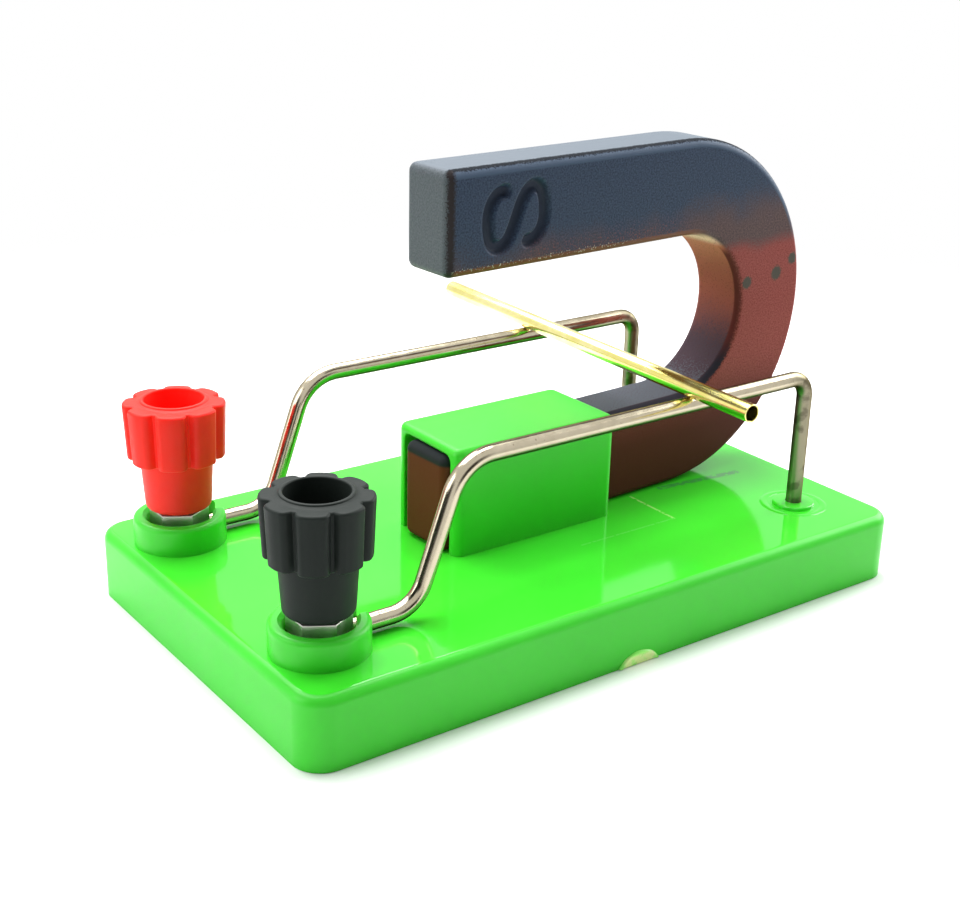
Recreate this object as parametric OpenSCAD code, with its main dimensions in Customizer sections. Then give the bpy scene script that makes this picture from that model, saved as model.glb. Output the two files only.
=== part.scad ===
// Ampere force apparatus for the classroom: a brass tube lies across two bent wire rails,
// between the poles of a horseshoe magnet, and moves along them when a current flows.
// Millimetres. The origin is under the middle of the base, on the table.
// +X runs from the binding posts to the rail legs, +Y from the black post to the red one, +Z up.

/* [Base plate] */
// Length of the base plate
base_length = 100; // [90:1:130]
// Width of the base plate
base_width = 60; // [54:1:90]
// Height of the base plate's top face above the table
base_height = 9.8; // [8.5:0.1:14]
// Radius of the base plate's upright corners
base_corner_radius = 4; // [2.5:0.5:6]
// Radius of the rounded edge round the top face
base_edge_radius = 1.4; // [0.6:0.1:2]
// Thickness of the base plate's side walls
base_wall = 2; // [1.2:0.1:3]
// Thickness of the base plate's top
base_top_thickness = 2.4; // [1.6:0.1:3.5]
// Width of the gate scar on the front lower edge
gate_width = 8; // [4:0.5:12]
// Height of the gate scar
gate_height = 2; // [1:0.1:3]
// Depth of the gate scar
gate_depth = 0.4; // [0.2:0.1:0.8]

/* [Magnet] */
// Thickness of a limb, across the horseshoe
magnet_limb = 14; // [10:0.5:16]
// Width of the bar
magnet_width = 9; // [7:0.5:11]
// Radius at the inside of the bend
magnet_inner_radius = 12.2; // [11:0.2:15]
// Length of the straight limbs
magnet_straight = 44.2; // [38:0.2:50]
// Radius of the bar's rounded long edges
magnet_edge_radius = 1.2; // [0.9:0.1:2]
// Radius of the rounded edges round a pole's end
magnet_tip_radius = 0.7; // [0.3:0.1:0.8]
// How far the pole ends stand out of the sleeve's mouth
magnet_tip_proud = 1; // [0:0.1:3]
// Angle that the loose magnet stands askew in its sleeve, in degrees
magnet_skew = 3; // [0:0.5:4]
// Gap under the magnet
magnet_seat_gap = 0.1; // [0.05:0.05:0.4]
// Height of a pole letter
mark_height = 11; // [8:0.5:12]
// Width of a pole letter
mark_width = 9; // [7:0.5:10]
// Width of a pole letter's stroke
mark_stroke = 1.4; // [0.8:0.1:1.8]
// Depth of a pole letter
mark_depth = 0.35; // [0.2:0.05:0.6]
// Distance from the pole's end to the top of its letter
mark_inset = 4.5; // [2:0.5:8]

/* [Magnet sleeve] */
// Length of the sleeve that holds the magnet's lower limb
sleeve_length = 27.7; // [20:0.1:34]
// Thickness of the sleeve's side walls
sleeve_wall = 1.85; // [1.2:0.05:3]
// Thickness of the sleeve's roof
sleeve_roof = 1.2; // [0.8:0.1:3]
// Radius of the rounded edge round the sleeve's roof
sleeve_edge_radius = 0.6; // [0.3:0.1:1]
// Radius of the sleeve's upright corners
sleeve_corner_radius = 1.2; // [1:0.1:1.8]
// Gap between the magnet and each side of the tunnel
tunnel_gap = 0.3; // [0.2:0.05:0.8]
// Gap between the magnet and the tunnel's roof
tunnel_head_gap = 0.2; // [0.1:0.05:0.8]
// Radius of the tunnel's two upper corners
tunnel_corner_radius = 1; // [0.4:0.1:1.2]

/* [Binding posts] */
// Distance between the two posts, and between the two rails
post_spacing = 38; // [34:1:50]
// Distance of the posts from the end of the base
post_inset = 8; // [7.5:0.5:14]
// Height of the moulded boss round a post
boss_height = 4; // [3:0.1:6]
// Thickness of the boss's rim
boss_wall = 1.8; // [1:0.1:2.5]
// Radius of the boss's rounded upper edge
boss_edge_radius = 0.5; // [0.2:0.1:0.9]
// Height of the boss's floor above the top face
boss_floor_rise = 0.4; // [0:0.1:1]
// Room round the rail eye and the nut in the boss
boss_gap = 0.1; // [0.05:0.05:0.5]
// Diameter of the post screw's thread
screw_diameter = 4; // [3:0.5:5]
// Diameter of the screw's head
screw_head_diameter = 8; // [7:0.5:9]
// Height of the screw's head
screw_head_height = 2.4; // [1.8:0.1:2.8]
// Clearance of the screw in the base's hole, on the radius
screw_hole_gap = 0.2; // [0.1:0.05:0.5]
// Height of the screw's head above the table
screw_head_lift = 1.2; // [0.5:0.1:2]
// Width of the slot in the screw's head
screw_slot_width = 1.1; // [0.8:0.1:1.6]
// Depth of the slot in the screw's head
screw_slot_depth = 1.1; // [0.6:0.1:1.4]
// Outer diameter of the washer under the base
washer_diameter = 9; // [8.5:0.5:11]
// Thickness of the washer
washer_thickness = 0.8; // [0.5:0.1:1.2]
// Width by which the post's pillar under the base stands out past the washer
pillar_margin = 0.6; // [0.2:0.1:1]
// Width of the hex nut across its flats
nut_across_flats = 7; // [6:0.5:8]
// Height of the hex nut
nut_height = 2.2; // [1.6:0.1:3.2]
// Turn of the hex nut, in degrees
nut_turn = 30; // [0:1:60]

/* [Knobs] */
// Gap between the nut and the knob, screwed down
knob_gap = 0.25; // [0.1:0.05:0.6]
// Radius of the skirt at its foot
skirt_foot_radius = 4.5; // [4:0.1:5]
// Radius of the skirt where it meets the lobes
skirt_head_radius = 4.85; // [4.4:0.05:5.4]
// Height of the skirt
skirt_height = 7.2; // [6:0.1:10]
// Chamfer at the foot of the skirt
skirt_chamfer = 0.8; // [0.2:0.1:1.2]
// Reach of the sloping shoulder above and below the foot of the lobes
shoulder_slope = 0.3; // [0.1:0.1:0.6]
// Number of lobes round the head
lobe_count = 8; // [6:1:10]
// Height of the lobes
lobe_height = 7.8; // [6:0.1:12]
// Radius of the head at the middle of the lobes
lobe_radius = 6.8; // [6.2:0.1:8]
// Width of one lobe
lobe_width = 3.5; // [2.4:0.1:3.8]
// Chamfer on a lobe's outer corners
lobe_corner = 0.5; // [0.2:0.1:0.8]
// Lean of the lobes outwards, in degrees
lobe_lean = 2.5; // [0:0.5:4]
// Radius of the socket in the knob's top
socket_radius = 4; // [3:0.1:4.2]
// Thickness of the raised rim round the socket
rim_wall = 1.1; // [0.6:0.1:1.5]
// Height of the raised rim above the lobes
rim_height = 0.5; // [0.2:0.1:1]
// Radius of the brass insert
insert_radius = 3; // [2.8:0.1:3.4]
// Length of the brass insert
insert_length = 7.4; // [6:0.1:9]
// Running clearance of the insert on the screw and of the knob on the insert, on the radius
insert_gap = 0.05; // [0.02:0.01:0.1]
// Thickness of the web between the insert and the socket
web_thickness = 0.8; // [0.5:0.1:2]
// Clearance of the screw in the web, on the radius
web_gap = 0.3; // [0.1:0.05:0.6]
// Turn of the black knob's lobes, in degrees
black_knob_turn = 7; // [0:1:44]
// Turn of the red knob's lobes, in degrees
red_knob_turn = 17; // [0:1:44]

/* [Rails] */
// Diameter of the rail wire
wire_diameter = 2.3; // [1.8:0.1:2.6]
// Height of the rails' level run above the base's top face
run_rise = 20; // [17:0.5:26]
// Distance of the rail legs from the end of the base
leg_inset = 10.4; // [8:0.2:16]
// Angle of the sloping stretch, in degrees from level
slope_angle = 70; // [55:1:80]
// Distance from the post to the foot of the slope
slope_start = 13.8; // [12:0.2:18]
// Bend radius at the foot of the slope
low_bend_radius = 5; // [3:0.5:6]
// Bend radius at the head of the slope
high_bend_radius = 6.5; // [4:0.5:7]
// Bend radius at the head of the leg
leg_bend_radius = 3; // [2.5:0.5:5]
// Bend radius where the wire turns into its eye
eye_bend_radius = 2.3; // [1.6:0.1:3]
// Length of the straight neck between that bend and the eye
eye_neck = 0.6; // [0.4:0.1:1]
// Opening left in the eye, in degrees
eye_opening = 58; // [50:1:80]
// Thinning of the wire in its bends, on the radius
bend_thinning = 0.05; // [0.04:0.01:0.08]
// Length by which a straight stretch of wire runs on into the thinner bend beside it
wire_lap = 0.2; // [0.15:0.05:0.3]
// Clearance of the eye round the screw, on the radius
eye_gap = 0.1; // [0.05:0.05:0.4]
// Clearance of the wire in the boss's slot, on each side
slot_gap = 0.3; // [0.1:0.05:0.6]
// Clearance of the leg in its socket, on the radius
leg_gap = 0.05; // [0.02:0.01:0.2]
// Height of the leg's end above the table
leg_end_lift = 2; // [1.5:0.1:4]
// Wall of the leg's socket under the base
leg_socket_wall = 1.6; // [1:0.1:2.5]
// Thickness of that socket's floor
leg_socket_floor = 0.8; // [0.5:0.1:1.2]
// Radius of the raised pad round the leg's foot
foot_pad_radius = 3.1; // [2.6:0.1:5]
// Height of the raised pad round the leg's foot
foot_pad_height = 0.5; // [0.2:0.1:1]

/* [Rolling tube] */
// Length of the brass tube
tube_length = 71; // [50:1:90]
// Outer diameter of the brass tube
tube_diameter = 2.5; // [2:0.1:4]
// Wall of the brass tube
tube_wall = 0.2; // [0.1:0.05:0.5]
// Place of the tube along the base
tube_x = 17; // [0:0.5:24]
// Place of the tube's middle across the base
tube_y = 4.3; // [-8:0.1:8]
// Angle of the tube from square across the rails, in degrees
tube_skew = 1.6; // [0:0.1:3]
// Gap between the tube and the rails
tube_gap = 0.1; // [0.05:0.05:0.3]

/* [Hidden] */
$fn = 64;

// Overlap that lets a cut pass through a face, or a raised shape sink into the one that carries it
over = 0.5;

// Posts and legs
post_x = -base_length / 2 + post_inset;
leg_x = base_length / 2 - leg_inset;
black_y = -post_spacing / 2;
red_y = post_spacing / 2;

// Rail wire and its eye, which lies flat round the screw
wire_radius = wire_diameter / 2;
screw_radius = screw_diameter / 2;
bend_wire_radius = wire_radius - bend_thinning;
eye_radius = screw_radius + eye_gap + wire_radius;
eye_bend_span = norm([eye_radius + eye_bend_radius, eye_neck]);
eye_start = asin(eye_bend_radius / eye_bend_span) + atan2(eye_neck, eye_radius + eye_bend_radius);
eye_reach = (eye_radius + eye_bend_radius) * cos(eye_start) + eye_neck * sin(eye_start);
nut_corner_radius = nut_across_flats / sqrt(3);
recess_radius = max(eye_radius + wire_radius, nut_corner_radius) + boss_gap;
boss_radius = recess_radius + boss_wall;
slot_width = wire_diameter + 2 * slot_gap;

// Leg socket under the base, and the post's pillar beside it
leg_hole_radius = wire_radius + leg_gap;
leg_hole_floor = leg_end_lift - leg_gap;
leg_socket_foot = leg_hole_floor - leg_socket_floor;
pillar_radius = washer_diameter / 2 + pillar_margin;

// Levels of a post, from the table up
head_top = screw_head_lift + screw_head_height;
pillar_foot = head_top + washer_thickness;
boss_floor = base_height + boss_floor_rise;
boss_top = base_height + boss_height;
eye_level = boss_floor + wire_radius;
nut_foot = boss_floor + wire_diameter;
knob_foot = nut_foot + nut_height + knob_gap;
screw_top = knob_foot + insert_length;
lobe_foot = knob_foot + skirt_height;
lobe_top = lobe_foot + lobe_height;
knob_top = lobe_top + rim_height;
socket_floor = knob_foot + insert_length + web_thickness;

// Levels of the rail and the tube that lies on it
run_level = base_height + run_rise;
tube_level = run_level + wire_radius + tube_gap + tube_diameter / 2;

// Magnet and the sleeve that follows it
magnet_outer_radius = magnet_inner_radius + magnet_limb;
magnet_mid_radius = magnet_inner_radius + magnet_limb / 2;
magnet_floor = base_height + magnet_seat_gap;
magnet_tip = -sleeve_length / 2 - magnet_tip_proud;
tunnel_width = magnet_width / cos(magnet_skew) + sleeve_length * tan(magnet_skew) + 2 * tunnel_gap;
tunnel_height = magnet_seat_gap + magnet_limb + tunnel_head_gap;
sleeve_width = tunnel_width + 2 * sleeve_wall;
sleeve_height = tunnel_height + sleeve_roof;

// Rectangle with round corners, centred
module rounded_rectangle(length, width, radius) {
    square([length, width - 2 * radius], center = true);
    square([length - 2 * radius, width], center = true);
    for (x = [-1, 1], y = [-1, 1])
        translate([x * (length / 2 - radius), y * (width / 2 - radius)])
            circle(radius);
}

// Upright outline with its two upper corners rounded, standing on the X axis
module rounded_head(width, height, radius) {
    translate([-width / 2, 0])
        square([width, height - radius]);
    translate([-width / 2 + radius, 0])
        square([width - 2 * radius, height]);
    for (x = [-1, 1])
        translate([x * (width / 2 - radius), height - radius])
            circle(radius);
}

// Round disc whose upper edge is rounded
module rounded_disc(disc_radius, height, radius) {
    rotate_extrude() {
        square([disc_radius, height - radius]);
        square([disc_radius - radius, height]);
        translate([disc_radius - radius, height - radius])
            intersection() {
                circle(radius);
                square(radius);
            }
    }
}

// Block with round upright corners and a rounded edge round its top
module rounded_block(length, width, height, corner_radius, edge_radius) {
    translate([-length / 2 + corner_radius, 0, 0])
        rotate([90, 0, 90])
            linear_extrude(length - 2 * corner_radius)
                rounded_head(width, height, edge_radius);
    translate([0, width / 2 - corner_radius, 0])
        rotate([90, 0, 0])
            linear_extrude(width - 2 * corner_radius)
                rounded_head(length, height, edge_radius);
    for (x = [-1, 1], y = [-1, 1])
        translate([x * (length / 2 - corner_radius), y * (width / 2 - corner_radius), 0])
            rounded_disc(corner_radius, height, edge_radius);
}

// Places its children on the axis of each post
module at_posts() {
    for (y = [black_y, red_y])
        translate([post_x, y, 0])
            children();
}

// Places its children on the axis of each rail leg
module at_legs() {
    for (y = [black_y, red_y])
        translate([leg_x, y, 0])
            children();
}

// What the base gains: plate, sleeve, bosses, pillars, leg sockets and foot pads
module base_body() {
    cavity_corner = max(base_corner_radius - base_wall, over);
    root_level = base_height - over;
    difference() {
        rounded_block(base_length, base_width, base_height, base_corner_radius, base_edge_radius);
        translate([0, 0, -over])
            linear_extrude(base_height - base_top_thickness + over)
                rounded_rectangle(base_length - 2 * base_wall, base_width - 2 * base_wall, cavity_corner);
    }
    translate([0, 0, root_level])
        rounded_block(
            sleeve_length, sleeve_width, sleeve_height + over,
            sleeve_corner_radius, sleeve_edge_radius
        );
    at_posts() {
        translate([0, 0, root_level])
            rounded_disc(boss_radius, boss_height + over, boss_edge_radius);
        translate([0, 0, pillar_foot])
            cylinder(r = pillar_radius, h = root_level - pillar_foot);
    }
    at_legs() {
        translate([0, 0, leg_socket_foot])
            cylinder(r = leg_hole_radius + leg_socket_wall, h = root_level - leg_socket_foot);
        translate([0, 0, root_level])
            cylinder(r = foot_pad_radius, h = foot_pad_height + over);
    }
}

// What the base loses: tunnel, post recesses and slots, screw holes, leg holes and the gate scar
module base_cuts() {
    translate([-sleeve_length / 2 - over, 0, base_height])
        rotate([90, 0, 90])
            linear_extrude(sleeve_length + 2 * over)
                rounded_head(tunnel_width, tunnel_height, tunnel_corner_radius);
    at_posts() {
        translate([0, 0, boss_floor])
            cylinder(r = recess_radius, h = boss_height);
        translate([0, -slot_width / 2, boss_floor])
            cube([boss_radius + over, slot_width, boss_height]);
        cylinder(r = screw_radius + screw_hole_gap, h = boss_floor + over);
    }
    at_legs()
        translate([0, 0, leg_hole_floor])
            cylinder(r = leg_hole_radius, h = base_height);
    gate_radius = (gate_width * gate_width / 4 + gate_height * gate_height) / (2 * gate_height);
    translate([0, -base_width / 2 + gate_depth, gate_height - gate_radius])
        rotate([90, 0, 0])
            cylinder(r = gate_radius, h = gate_depth + over);
}

module base() {
    color("limegreen")
        difference() {
            base_body();
            base_cuts();
        }
}

// Cross-section of the magnet's bar
module bar_section() {
    rounded_rectangle(magnet_width, magnet_limb, magnet_edge_radius);
}

// Straight stroke of a letter, from a point along an angle, drawn flat
module stroke(from, angle, length) {
    translate(from)
        rotate(angle)
            translate([0, -mark_stroke / 2])
                square([length, mark_stroke]);
}

// Bow of a letter: part of a ring, drawn flat
module bow(centre, radius, start, turn) {
    translate(centre)
        rotate(start)
            intersection() {
                difference() {
                    circle(radius + mark_stroke / 2);
                    circle(radius - mark_stroke / 2);
                }
                if (turn == 180)
                    translate([-radius - mark_stroke, 0])
                        square([2 * (radius + mark_stroke), radius + mark_stroke]);
                else
                    square(radius + mark_stroke);
            }
}

// Letter of the south pole, standing up along +Y, its foot's middle at the origin
module letter_s() {
    radius = (mark_height - mark_stroke) / 4;
    reach = (mark_width - mark_stroke) / 2 - radius;
    low = mark_stroke / 2 + radius;
    high = mark_height - mark_stroke / 2 - radius;
    for (level = [low - radius, low + radius, high + radius])
        stroke([-reach, level], 0, 2 * reach);
    bow([-reach, high], radius, 90, 180);
    bow([reach, low], radius, -90, 180);
    bow([reach, high], radius, 0, 90);
    bow([-reach, low], radius, 180, 90);
}

// Letter of the north pole, standing up along +Y, its foot's middle at the origin
module letter_n() {
    reach = (mark_width - mark_stroke) / 2;
    for (x = [-1, 1])
        translate([x * reach - mark_stroke / 2, 0])
            square([mark_stroke, mark_height]);
    polygon([
        [-reach - mark_stroke / 2, mark_height],
        [-reach + mark_stroke / 2, mark_height],
        [reach + mark_stroke / 2, 0],
        [reach - mark_stroke / 2, 0]
    ]);
}

// Sinks a flat letter into the magnet's near face, its head towards the pole's end
module sunk_letter(level) {
    translate([mark_inset + mark_height, -magnet_width / 2 + mark_depth, level])
        rotate([90, 0, 0])
            rotate(90)
                linear_extrude(mark_depth + over)
                    children();
}

// Horseshoe lying along X, its lower limb's end at the origin
module horseshoe() {
    difference() {
        union() {
            for (level = [magnet_limb / 2, magnet_limb / 2 + 2 * magnet_mid_radius])
                translate([magnet_straight, 0, level])
                    rotate([0, -90, 0])
                        rounded_block(
                            magnet_limb, magnet_width, magnet_straight,
                            magnet_edge_radius, magnet_tip_radius
                        );
            translate([magnet_straight, 0, magnet_outer_radius])
                rotate([90, 0, 0])
                    rotate(-90)
                        rotate_extrude(angle = 180)
                            translate([magnet_mid_radius, 0])
                                rotate(90)
                                    bar_section();
        }
        sunk_letter(magnet_limb / 2 + 2 * magnet_mid_radius)
            letter_s();
        sunk_letter(magnet_limb / 2)
            letter_n();
    }
}

module magnet() {
    color("slategray")
        translate([0, 0, magnet_floor])
            rotate(magnet_skew)
                translate([magnet_tip, 0, 0])
                    horseshoe();
}

// Straight piece of wire along +Z, lapped into the bend at its foot and, where there is one, at its head
module wire_run(length, head_lap = wire_lap) {
    translate([0, 0, -wire_lap])
        cylinder(r = wire_radius, h = length + wire_lap + head_lap);
}

// Bent piece of wire about the Z axis, starting on the X axis
module wire_bend(radius, turn) {
    rotate_extrude(angle = turn)
        translate([radius, 0])
            circle(bend_wire_radius);
}

// Places its children at a point of the XZ plane, their +Z turned to an angle from +X
module along(point, angle) {
    translate([point[0], 0, point[1]])
        rotate([0, 90 - angle, 0])
            children();
}

// Places a bend in the XZ plane, its start at an angle round its centre
module bend_at(centre, start) {
    translate([centre[0], 0, centre[1]])
        rotate([90, 0, 0])
            rotate(start)
                children();
}

// Eye round the screw: most of a ring, a short neck and a reverse bend, flat about the post's axis
module wire_eye() {
    rotate(eye_start) {
        wire_bend(eye_radius, 360 - eye_opening);
        translate([eye_radius, -eye_neck, 0])
            rotate([-90, 0, 0])
                wire_run(eye_neck);
    }
    translate([eye_reach, eye_bend_radius, 0])
        rotate(180 + eye_start)
            wire_bend(eye_bend_radius, 90 - eye_start);
}

// One rail about its post's axis, in the XZ plane
module rail() {
    rise = run_level - eye_level;
    low_set = low_bend_radius * tan(slope_angle / 2);
    high_set = high_bend_radius * tan(slope_angle / 2);
    slope_foot = [slope_start + low_set * cos(slope_angle), eye_level + low_set * sin(slope_angle)];
    slope_length = rise / sin(slope_angle) - low_set - high_set;
    run_start = slope_start + rise / tan(slope_angle) + high_set;
    leg_reach = leg_x - post_x;
    translate([0, 0, eye_level])
        wire_eye();
    along([eye_reach, eye_level], 0)
        wire_run(slope_start - low_set - eye_reach);
    bend_at([slope_start - low_set, eye_level + low_bend_radius], -90)
        wire_bend(low_bend_radius, slope_angle);
    along(slope_foot, slope_angle)
        wire_run(slope_length);
    bend_at([run_start, run_level - high_bend_radius], 90)
        wire_bend(high_bend_radius, slope_angle);
    along([run_start, run_level], 0)
        wire_run(leg_reach - leg_bend_radius - run_start);
    bend_at([leg_reach - leg_bend_radius, run_level - leg_bend_radius], 0)
        wire_bend(leg_bend_radius, 90);
    along([leg_reach, run_level - leg_bend_radius], -90)
        wire_run(run_level - leg_bend_radius - leg_end_lift, 0);
}

module black_rail() {
    color("silver")
        translate([post_x, black_y, 0])
            rail();
}

module red_rail() {
    color("silver")
        translate([post_x, red_y, 0])
            mirror([0, 1, 0])
                rail();
}

module rolling_tube() {
    color("gold")
        translate([tube_x, tube_y, tube_level])
            rotate([90, 0, -tube_skew])
                difference() {
                    cylinder(d = tube_diameter, h = tube_length, center = true);
                    cylinder(d = tube_diameter - 2 * tube_wall, h = tube_length + 2 * over, center = true);
                }
}

module post_screw() {
    color("silver")
        difference() {
            union() {
                translate([0, 0, screw_head_lift])
                    cylinder(d = screw_head_diameter, h = screw_head_height);
                translate([0, 0, head_top - over])
                    cylinder(r = screw_radius, h = screw_top - head_top + over);
            }
            translate([-screw_head_diameter / 2 - over, -screw_slot_width / 2, screw_head_lift - over])
                cube([screw_head_diameter + 2 * over, screw_slot_width, screw_slot_depth + over]);
        }
}

module post_washer() {
    color("silver")
        translate([0, 0, head_top])
            difference() {
                cylinder(d = washer_diameter, h = washer_thickness);
                translate([0, 0, -over])
                    cylinder(r = screw_radius + screw_hole_gap, h = washer_thickness + 2 * over);
            }
}

module post_nut() {
    color("silver")
        translate([0, 0, nut_foot])
            difference() {
                rotate(nut_turn)
                    cylinder(r = nut_corner_radius, h = nut_height, $fn = 6);
                translate([0, 0, -over])
                    cylinder(r = screw_radius + insert_gap, h = nut_height + 2 * over);
            }
}

module knob_insert() {
    color("goldenrod")
        translate([0, 0, knob_foot])
            difference() {
                cylinder(r = insert_radius, h = insert_length);
                translate([0, 0, -over])
                    cylinder(r = screw_radius + insert_gap, h = insert_length + 2 * over);
            }
}

// Round core of a knob: the skirt with its chamfered foot, and the head's middle up to the rim
module knob_core() {
    rotate_extrude()
        polygon([
            [0, 0],
            [skirt_foot_radius - skirt_chamfer, 0],
            [skirt_foot_radius, skirt_chamfer],
            [skirt_head_radius, skirt_height - shoulder_slope],
            [socket_radius + rim_wall, skirt_height + shoulder_slope],
            [socket_radius + rim_wall, skirt_height + lobe_height + rim_height],
            [0, skirt_height + lobe_height + rim_height]
        ]);
}

// Outline of one lobe, rooted in the rim's wall, with its two outer corners cut off
module lobe_outline() {
    root = socket_radius + rim_wall / 2;
    side = lobe_width / 2;
    polygon([
        [root, -side],
        [lobe_radius - lobe_corner, -side],
        [lobe_radius, lobe_corner - side],
        [lobe_radius, side - lobe_corner],
        [lobe_radius - lobe_corner, side],
        [root, side]
    ]);
}

// Ring of lobes that lean outwards, cut level at the foot and the top
module knob_lobes() {
    intersection() {
        for (i = [0 : lobe_count - 1])
            rotate(i * 360 / lobe_count)
                translate([0, 0, skirt_height + lobe_height / 2])
                    rotate([0, lobe_lean, 0])
                        linear_extrude(2 * lobe_height, center = true)
                            lobe_outline();
        translate([0, 0, skirt_height])
            cylinder(r = 2 * lobe_radius, h = lobe_height);
    }
}

module knob_shell(turn) {
    translate([0, 0, knob_foot])
        difference() {
            union() {
                knob_core();
                rotate(turn)
                    knob_lobes();
            }
            translate([0, 0, -over])
                cylinder(r = insert_radius + insert_gap, h = insert_length + over);
            cylinder(r = screw_radius + web_gap, h = insert_length + web_thickness + over);
            translate([0, 0, socket_floor - knob_foot])
                cylinder(r = socket_radius, h = knob_top - socket_floor + over);
        }
}

module black_knob() {
    color("darkslategray")
        translate([post_x, black_y, 0])
            knob_shell(black_knob_turn);
}

module red_knob() {
    color("red")
        translate([post_x, red_y, 0])
            knob_shell(red_knob_turn);
}

module black_post_screw() {
    translate([post_x, black_y, 0])
        post_screw();
}

module red_post_screw() {
    translate([post_x, red_y, 0])
        post_screw();
}

module black_post_washer() {
    translate([post_x, black_y, 0])
        post_washer();
}

module red_post_washer() {
    translate([post_x, red_y, 0])
        post_washer();
}

module black_post_nut() {
    translate([post_x, black_y, 0])
        post_nut();
}

module red_post_nut() {
    translate([post_x, red_y, 0])
        post_nut();
}

module black_knob_insert() {
    translate([post_x, black_y, 0])
        knob_insert();
}

module red_knob_insert() {
    translate([post_x, red_y, 0])
        knob_insert();
}

base();
magnet();
black_rail();
red_rail();
rolling_tube();
black_post_screw();
red_post_screw();
black_post_washer();
red_post_washer();
black_post_nut();
red_post_nut();
black_knob_insert();
red_knob_insert();
black_knob();
red_knob();
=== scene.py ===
# %% [markdown]
# # Ampere force apparatus
# A classroom stand: a brass tube lies on two bent wire rails, between the poles of a horseshoe
# magnet. When a current runs from one rail to the other through the tube, the magnet pushes the
# tube along. The CAD model gives every piece its place and size. This lesson dresses those pieces:
# it models their rounded edges and moulded details again with bmesh operators, and gives each one
# the finish of its real material.

# %% Load the frame
import math

import bmesh
import bpy
from bmesh.types import BMEdge, BMVert
from mathutils import Matrix, Vector
from mathutils.geometry import interpolate_bezier, intersect_point_line


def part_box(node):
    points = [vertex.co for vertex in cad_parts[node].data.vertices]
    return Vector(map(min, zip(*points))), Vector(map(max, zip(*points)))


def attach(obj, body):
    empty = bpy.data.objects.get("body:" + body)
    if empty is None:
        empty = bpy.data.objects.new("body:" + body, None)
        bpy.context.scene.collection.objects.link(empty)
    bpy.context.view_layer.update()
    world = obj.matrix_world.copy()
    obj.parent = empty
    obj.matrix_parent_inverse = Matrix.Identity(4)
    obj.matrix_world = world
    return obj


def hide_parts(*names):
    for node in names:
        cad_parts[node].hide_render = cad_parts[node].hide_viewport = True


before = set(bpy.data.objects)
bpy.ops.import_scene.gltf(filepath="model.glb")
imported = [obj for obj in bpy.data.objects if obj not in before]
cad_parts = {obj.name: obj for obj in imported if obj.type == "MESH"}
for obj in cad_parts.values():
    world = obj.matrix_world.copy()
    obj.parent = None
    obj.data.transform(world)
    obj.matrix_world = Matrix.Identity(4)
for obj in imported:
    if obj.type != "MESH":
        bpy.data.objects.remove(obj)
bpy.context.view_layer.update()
MM = 0.001

# %% [markdown]
# ## Camera
# The photograph was taken from above the black post's corner, with the near end close to the lens.
# A camera was fitted to the straight edges of the base, so the lens, the distance and a slight roll
# come from that fit. A camera looks along its own -Z with Y up. So it is rolled about Z, tilted up
# about X, turned about Z, and stands back from its target along its own Z.

# %% Camera
CAMERA_TARGET = Vector((3.202, 10.854, 16.021))
CAMERA_DISTANCE = 230
CAMERA_AZIMUTH = math.radians(-36.364)
CAMERA_ELEVATION = math.radians(21.191)
CAMERA_ROLL = math.radians(1.378)
CAMERA_LENS = 57.616
SENSOR_WIDTH = 36
CLIP_START = 10
QUARTER = math.radians(90)

camera_data = bpy.data.cameras.new("camera")
camera_data.lens = CAMERA_LENS
camera_data.sensor_width = SENSOR_WIDTH
camera_data.sensor_fit = "HORIZONTAL"
camera_data.clip_start = CLIP_START * MM
camera = bpy.data.objects.new("camera", camera_data)
bpy.context.scene.collection.objects.link(camera)
camera_place = (
    Matrix.Translation(CAMERA_TARGET * MM)
    @ Matrix.Rotation(CAMERA_AZIMUTH, 4, "Z")
    @ Matrix.Rotation(QUARTER - CAMERA_ELEVATION, 4, "X")
    @ Matrix.Rotation(CAMERA_ROLL, 4, "Z")
    @ Matrix.Translation((0, 0, CAMERA_DISTANCE * MM))
)
camera.matrix_world = camera_place
bpy.context.scene.camera = camera
print("camera at", [round(value / MM, 1) for value in camera_place.translation])

# %% [markdown]
# ## Helpers for materials
# Colours are written as a paint chart gives them, in sRGB hex, and one function makes them linear,
# which is what the shader reckons in. A second small function adds any node with its settings and
# its links, so that a material's recipe reads as a list of what it is made of. Patterns read Object
# coordinates, made millimetres here, so that their scale is one over a real size. Most finishes are
# a ground colour with other colours laid over it, each through a mask, as a painter works with
# stencils.

# %% Material helpers


def colour(code):
    """Linear colour of an sRGB hex code."""
    parts = [int(code[i:i + 2], 16) / 255 for i in (1, 3, 5)]
    return tuple(p / 12.92 if p <= 0.04045 else ((p + 0.055) / 1.055) ** 2.4 for p in parts) + (1,)


def add(tree, kind, inputs=None, **settings):
    """Adds a node with its settings; an input is a value, a socket, or a node to link from."""
    node = tree.nodes.new("ShaderNode" + kind)
    for name, value in settings.items():
        setattr(node, name, value)
    for key, value in (inputs or {}).items():
        if isinstance(value, bpy.types.Node):
            value = next(socket for socket in value.outputs if socket.enabled)
        if isinstance(value, bpy.types.NodeSocket):
            tree.links.new(value, node.inputs[key])
        else:
            node.inputs[key].default_value = value
    return node


def make_material(name, recipe, **settings):
    """A material; its recipe gets the node tree and a place in mm, and gives back a shader."""
    material = bpy.data.materials.new(name)
    material.use_nodes = True
    tree = material.node_tree
    tree.nodes.clear()
    metres = add(tree, "TexCoord").outputs["Object"]
    place = add(tree, "VectorMath", {0: metres, "Scale": 1 / MM}, operation="SCALE")
    add(tree, "OutputMaterial", {"Surface": recipe(tree, place, **settings)})
    print("made", name)
    return material


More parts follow.
